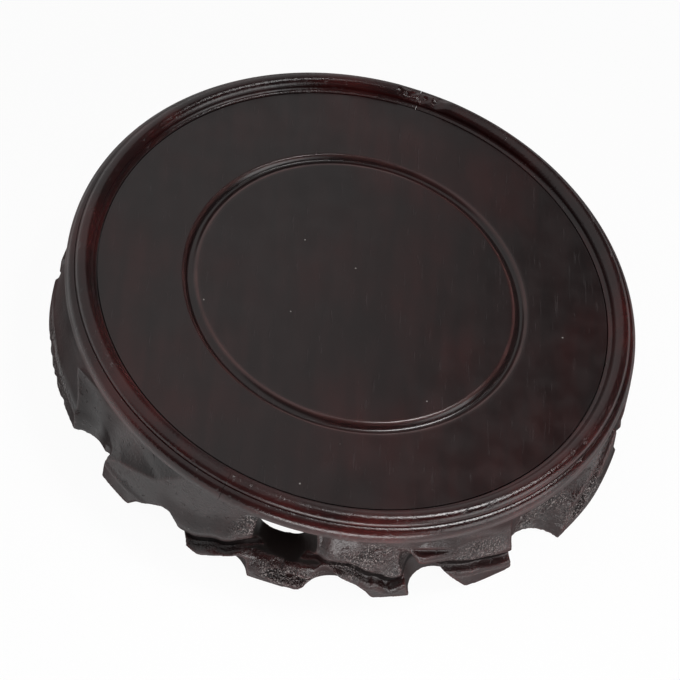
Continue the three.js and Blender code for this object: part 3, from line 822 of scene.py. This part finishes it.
def roughen(mesh):
    # marks of the gouge where the carver left them
    points = positions(mesh)
    az, radius = polar(points)
    az = az % 360
    z = points[:, 2]
    outside = radius > ring["bore"] + gouging["boreMargin"]
    depth, carved = np.zeros(len(points)), np.zeros(len(points))
    for turn in (0, 180):
        for middle, level, reachRound, reachUp, markRound, markUp, deep in toolMarks:
            away = signedTurn(az - middle - turn) / reachRound
            mask = dome(away ** 2 + ((z - level) / reachUp) ** 2, gouging["edge"])
            near = (mask > 0) & outside
            place = np.stack([az[near], z[near], radius[near]], axis=-1)
            drift = latticeNoise(place / gouging["drift"], *gouging["patches"])
            carved[near] = np.maximum(carved[near], mask[near] * np.clip(drift, 0, 1))
            cells = np.stack([np.radians(az[near]) * ring["rimRadius"] / markRound, z[near] / markUp,
                              radius[near] / markUp], axis=-1)
            depth[near] += deep * mask[near] * latticeNoise(cells, *gouging["marks"])
    for middle, level, reach, deep in nicks:
        across = np.radians(signedTurn(az - middle)) * ring["rimRadius"]
        depth += deep * np.exp(-(across ** 2 + (z - level) ** 2) / reach ** 2) * outside
    points[:, :2] *= (1 - depth / radius)[:, None]
    setPositions(mesh, points)
    writeMask(mesh, "carved", carved)


coats = {
    # how far a face has to turn in or down to belong to the bore or the underside
    "turnedIn": -0.3, "turnedDown": -0.7,
    # the walls of the openings: reach round, lowest point, turn outward at most, depth in the ring
    "holeReach": 9, "holeFloor": 11, "holeTurn": 0.45, "holeDepth": 4,
    # the neck over the foot lips, where shade is painted: share of moulding and turn outward at least, bottom
    # and top
    "neckShare": 0.6, "neckTurn": 0.2, "neckBottom": 0.9, "neckTop": 4.2, "ragged": 2.4, "cell": 1.1,
}


def paintHollows(mesh):
    # the bore, the underside and the walls of the openings have thin, dull lacquer, and nearly black, dull
    # lacquer is painted as shade in the neck over the foot lips, with a ragged upper edge
    centre, normal = readRows(mesh.polygons, "center") / mm, readRows(mesh.polygons, "normal")
    az, radius = polar(centre)
    z = centre[:, 2]
    outward = (centre[:, :2] * normal[:, :2]).sum(1) / radius
    away = (az - opening["outside"]["az"] + 90) % 180 - 90
    hole = (np.abs(away) < coats["holeReach"]) & (z > coats["holeFloor"])
    hole &= (outward < coats["holeTurn"]) & (radius < ring["rimRadius"] - coats["holeDepth"])
    inside = (outward < coats["turnedIn"]) | (normal[:, 2] < coats["turnedDown"]) | hole
    lips = twice(ring["lips"])
    over = z - eased(lips, 2, az)
    top = coats["neckTop"] + coats["ragged"] * latticeNoise(centre / coats["cell"], lift=-0.5)
    shadedNeck = (over > coats["neckBottom"]) & (over < top) & (eased(lips, 1, az) > coats["neckShare"])
    shadedNeck &= ~inside & (outward > coats["neckTurn"])
    for name in ("insideLacquer", "neckShadeLacquer"):
        mesh.materials.append(materials[name])
    mesh.polygons.foreach_set("material_index", inside.astype(np.int32) + 2 * shadedNeck)
    mesh.update()


def addBase():
    whole = makeRing()
    cut(whole, [openingCutter(0), openingCutter(180)])
    remesh = whole.modifiers.new("remesh", "REMESH")
    remesh.mode = "VOXEL"
    remesh.voxel_size = ring["voxel"] * mm
    whole.data = plainMesh(whole)
    soften(whole.data)
    roughen(whole.data)
    paintRidges(whole.data)
    whole.data.shade_smooth()
    print("carved ring faces", len(whole.data.polygons))
    for i, (start, end) in enumerate(spans(ring["joints"]), 1):
        piece = link(f"carvedBase{i}", whole.data.copy())
        cut(piece, [wedgeTool(start, end)], "INTERSECT")
        print("slivers dropped", dropSlivers(piece.data))
        piece.data.set_sharp_from_angle(angle=math.radians(ring["sharpAngle"]))
        standFor(piece, f"base_segment_{i}", "baseLacquer")
        paintHollows(piece.data)
    bpy.data.objects.remove(whole)


addBase()

print("moulded rim")

rim = {
    "fieldRadius": 90.15, "width": 10.35, "flangeThickness": 1.2, "chamfer": 0.2,
    "quirkInset": 2.9, "quirkRise": 1.4, "quirkDepth": 0.25,
    "coveWidth": 1.5, "lipThickness": 1.9, "lipReach": 1.15,
    "arcs": {"lowerBead": (0, 86, 14), "upperBead": (8, 180, 36), "cove": (0, 90, 10)},   # from, to, steps
    "joints": (90, 173, 258, 345), "jointGap": 0.03, "stepsPerTurn": 720, "sharpAngle": 35,
}


def arcPoints(middle, halfWidth, height, start, end, steps):
    angles = np.radians(np.linspace(start, end, steps + 1))
    return [(middle[0] + halfWidth * math.cos(a), middle[1] + height * math.sin(a)) for a in angles]


def rimOutline():
    # radius and height, anticlockwise: lip, rebate, underside, lower bead, quirk, upper bead, cove
    inner, arcs = rim["fieldRadius"], rim["arcs"]
    outer = inner + rim["width"]
    rebate = inner + rim["lipReach"]
    lip = fieldLevel - rim["lipThickness"]
    flangeTop = rimFoot + rim["flangeThickness"]
    beadFoot = fieldLevel + rim["quirkRise"]
    beadHalf = (rim["width"] - rim["quirkInset"] - rim["coveWidth"]) / 2
    outline = [(inner, lip), (rebate, lip), (rebate, rimFoot), (outer - rim["chamfer"], rimFoot),
               (outer, rimFoot + rim["chamfer"])]
    quirk = outer - rim["quirkInset"]
    outline += arcPoints((quirk, flangeTop), rim["quirkInset"], beadFoot - flangeTop, *arcs["lowerBead"])
    outline.append((quirk, beadFoot - rim["quirkDepth"]))
    middle = inner + rim["coveWidth"] + beadHalf
    outline += arcPoints((middle, beadFoot), beadHalf, crestLevel - beadFoot, *arcs["upperBead"])
    outline += arcPoints((inner, beadFoot), rim["coveWidth"], -rim["quirkRise"], *arcs["cove"])[1:]
    return outline


def sweptTree():
    # a closed outline swept round the stand from one azimuth to another
    tree = bpy.data.node_groups.new("sweptMoulding", "GeometryNodeTree")
    tree.interface.new_socket("Outline", in_out="INPUT", socket_type="NodeSocketObject")
    for label, value in (("Radius", 0.1), ("From", 0.0), ("To", 90.0), ("Steps Per Turn", 720.0)):
        socket = tree.interface.new_socket(label, in_out="INPUT", socket_type="NodeSocketFloat")
        socket.default_value = value
    tree.interface.new_socket("Finish", in_out="INPUT", socket_type="NodeSocketMaterial")
    tree.interface.new_socket("Geometry", in_out="OUTPUT", socket_type="NodeSocketGeometry")
    start = tree.nodes.new("NodeGroupInput")
    end = tree.nodes.new("NodeGroupOutput")
    outline = addNode(tree, "GeometryNodeObjectInfo", {"Object": start.outputs["Outline"]})
    span = math2(tree, "SUBTRACT", start.outputs["To"], start.outputs["From"])
    count = math2(tree, "DIVIDE", math2(tree, "MULTIPLY", span, start.outputs["Steps Per Turn"]), 360.0)
    rounded = addNode(tree, "FunctionNodeFloatToInt", {"Float": count})
    steps = addNode(tree, "ShaderNodeMath", {0: rounded.outputs[0], 1: 2.0}, operation="ADD")
    path = addNode(tree, "GeometryNodeMeshLine", {"Count": steps.outputs[0]}, mode="OFFSET")
    index = tree.nodes.new("GeometryNodeInputIndex")
    last = math2(tree, "SUBTRACT", steps.outputs[0], 1.0)
    share = math2(tree, "DIVIDE", index.outputs[0], last)
    azimuth = math2(tree, "ADD", start.outputs["From"], math2(tree, "MULTIPLY", share, span))
    turn = math2(tree, "RADIANS", azimuth)
    x = math2(tree, "MULTIPLY", math2(tree, "COSINE", turn), start.outputs["Radius"])
    y = math2(tree, "MULTIPLY", math2(tree, "SINE", turn), start.outputs["Radius"])
    place = addNode(tree, "ShaderNodeCombineXYZ", {"X": x, "Y": y})
    moved = addNode(tree, "GeometryNodeSetPosition",
                    {"Geometry": path.outputs[0], "Position": place.outputs[0]})
    curve = addNode(tree, "GeometryNodeMeshToCurve", {"Mesh": moved.outputs[0]})
    upright = addNode(tree, "GeometryNodeSetCurveNormal", {"Curve": curve.outputs[0]})
    swept = addNode(tree, "GeometryNodeCurveToMesh", {"Curve": upright.outputs[0],
                                                      "Profile Curve": outline.outputs["Geometry"],
                                                      "Fill Caps": True})
    outward = addNode(tree, "GeometryNodeFlipFaces", {"Mesh": swept.outputs[0]})
    whole = addNode(tree, "GeometryNodeRealizeInstances", {"Geometry": outward.outputs[0]})
    coloured = addNode(tree, "GeometryNodeSetMaterial", {"Geometry": whole.outputs[0],
                                                         "Material": start.outputs["Finish"]})
    tree.links.new(coloured.outputs[0], end.inputs["Geometry"])
    return tree


def runTree(name, tree, values):
    piece = link(name, bpy.data.meshes.new(name))
    step = piece.modifiers.new(tree.name, "NODES")
    step.node_group = tree
    for socket in tree.interface.items_tree:
        if socket.in_out == "INPUT":
            step[socket.identifier] = values[socket.name]
    piece.data = plainMesh(piece)
    return piece


def outlineCurve(name, outline, middle):
    # the outline is drawn from the middle of its path, and upside down, as the sweep turns it
    data = bpy.data.curves.new(name, "CURVE")
    data.dimensions = "3D"
    line = data.splines.new("POLY")
    line.points.add(len(outline) - 1)
    for point, (radius, z) in zip(line.points, outline):
        point.co = ((radius - middle) * mm, -z * mm, 0, 1)
    line.use_cyclic_u = True
    return link(name, data)


sweep = sweptTree()

rimBreak = {"az": 89.0, "reach": 5.8, "edge": 1.5, "depth": 1.7, "rough": 0.35, "chip": 1.6,
            "rubbed": 0.4, "cell": 1.1}
# patches of the rim's lacquer that hands have rubbed: share, their cells, gain and lift
rimRubbed = {"share": 0.25, "cells": (9.0, 9.0, 1.5), "patches": (2.6, -1.4)}


def breakCrest(mesh):
    # the crest is broken off over a short run, and the break was lacquered over
    points = positions(mesh)
    az = polar(points)[0]
    share = np.clip((points[:, 2] - fieldLevel) / (crestLevel - fieldLevel), 0, 1)
    run = dome(((az - rimBreak["az"]) / rimBreak["reach"]) ** 2, rimBreak["edge"])
    chips = 1 + rimBreak["rough"] * latticeNoise(points / rimBreak["chip"], 2, -1)
    points[:, 2] -= rimBreak["depth"] * run * share * chips
    setPositions(mesh, points)
    rubbed = rimBreak["rubbed"] * run * share * latticeNoise(points / rimBreak["cell"])
    patches = latticeNoise(points / rimRubbed["cells"], *rimRubbed["patches"])
    rubbed += rimRubbed["share"] * np.clip(patches, 0, 1)
    writeMask(mesh, "thin", np.clip(rubbed, 0, 1))


def addRim():
    middle = rim["fieldRadius"] + rim["width"] / 2
    drawn = outlineCurve("rimOutline", rimOutline(), middle)
    gap = rim["jointGap"]
    for i, (start, end) in enumerate(spans(rim["joints"]), 1):
        piece = runTree(f"rimMoulding{i}", sweep, {
            "Outline": drawn, "Radius": middle * mm, "From": start + gap, "To": end - gap,
            "Steps Per Turn": float(rim["stepsPerTurn"]), "Finish": materials["rimLacquer"]})
        breakCrest(piece.data)
        piece.data.shade_smooth()
        piece.data.set_sharp_from_angle(angle=math.radians(rim["sharpAngle"]))
        standFor(piece, f"rim_segment_{i}", "rimLacquer")
    bpy.data.objects.remove(drawn)


addRim()

print("field boards")

panel = {
    "radius": 91.0, "edgeRadius": 89.75, "rebate": fieldLevel - rim["lipThickness"] - glueLine, "boards": 3,
    # radius and depth across the ring groove, from its soft inner slope to its steep outer wall
    "groove": ((54.6, 0), (55.4, 0), (55.8, 0.03), (56.1, 0.12), (56.4, 0.3), (56.8, 0.65), (57.2, 1.0),
               (57.6, 1.28), (58.0, 1.48), (58.35, 1.58), (58.7, 1.6), (59.0, 1.5), (59.3, 1.28),
               (59.6, 0.95), (59.9, 0.6), (60.15, 0.33), (60.4, 0.14), (60.7, 0.03), (61.1, 0), (62.0, 0)),
    "arrises": ((56.1, 0.55, 0.85), (60.3, 0.6, 0.6)),   # radius, reach and share of the worn edges
    "wearCell": 6.0, "wearDepth": 1.2,
    "centreRadius": 1e-4, "joined": 1e-6,   # the outline's ends on the axis are joined to one point
    "sawReach": 100, "sawMargin": 5, "stepsPerTurn": 720, "sharpAngle": 30,
}


def panelOutline():
    groove = panel["groove"]
    outline = [(0.0, fieldBottom), (panel["radius"], fieldBottom), (panel["radius"], panel["rebate"]),
               (panel["edgeRadius"], panel["rebate"]), (panel["edgeRadius"], fieldLevel)]
    outline += [(radius, fieldLevel - depth) for radius, depth in reversed(groove)]
    outline.append((0.0, fieldLevel))
    return outline


def wearArrises(mesh):
    points = positions(mesh)
    radius = polar(points)[1]
    wear = latticeNoise(points / panel["wearCell"], lift=0.5)
    worn = np.zeros(len(points))
    for middle, reach, share in panel["arrises"]:
        worn += share * np.exp(-((radius - middle) / reach) ** 2) * wear
    worn *= points[:, 2] > fieldLevel - panel["wearDepth"]
    writeMask(mesh, "worn", np.clip(worn, 0, 1))


def makePanel():
    # the whole panel, before it is sawn into its boards
    columns = panel["stepsPerTurn"]
    az = np.linspace(0, 360, columns, endpoint=False)
    rows = [polarPoints(np.full(columns, max(radius, panel["centreRadius"])), az, z)
            for radius, z in panelOutline()]
    mesh = gridMesh("panel", np.array(rows))
    whole = bmesh.new()
    whole.from_mesh(mesh)
    bmesh.ops.remove_doubles(whole, verts=whole.verts, dist=panel["joined"])
    turnOutward(whole, mesh)
    return mesh


def addBoards():
    mesh = makePanel()
    reach, margin = panel["sawReach"], panel["sawMargin"]
    width = 2 * panel["radius"] / panel["boards"]
    for i in range(panel["boards"]):
        piece = link(f"fieldBoard{i + 1}", mesh.copy())
        left = -panel["radius"] + i * width
        low = left if i else left - margin
        high = left + width if i < panel["boards"] - 1 else left + width + margin
        corners = ((low, -reach), (high, -reach), (high, reach), (low, reach))
        rows = [[(x, y, z) for x, y in corners] for z in (fieldBottom - margin, fieldLevel + margin)]
        cut(piece, [addTool("boardBlock", rows)], "INTERSECT")
        wearArrises(piece.data)
        piece.data.shade_smooth()
        piece.data.set_sharp_from_angle(angle=math.radians(panel["sharpAngle"]))
        standFor(piece, f"field_board_{i + 1}", "fieldLacquer")


addBoards()

print("hidden pieces")

hiddenFinishes = {"batten": "bareWood", "rim_tongue": "bareWood", "base_dowel": "bamboo", "rim_pin": "bamboo"}

for name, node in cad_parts.items():
    for start, finish in hiddenFinishes.items():
        if name.startswith(start):
            coat(node, finish)

scene = bpy.context.scene
scene.view_settings.view_transform = "Standard"
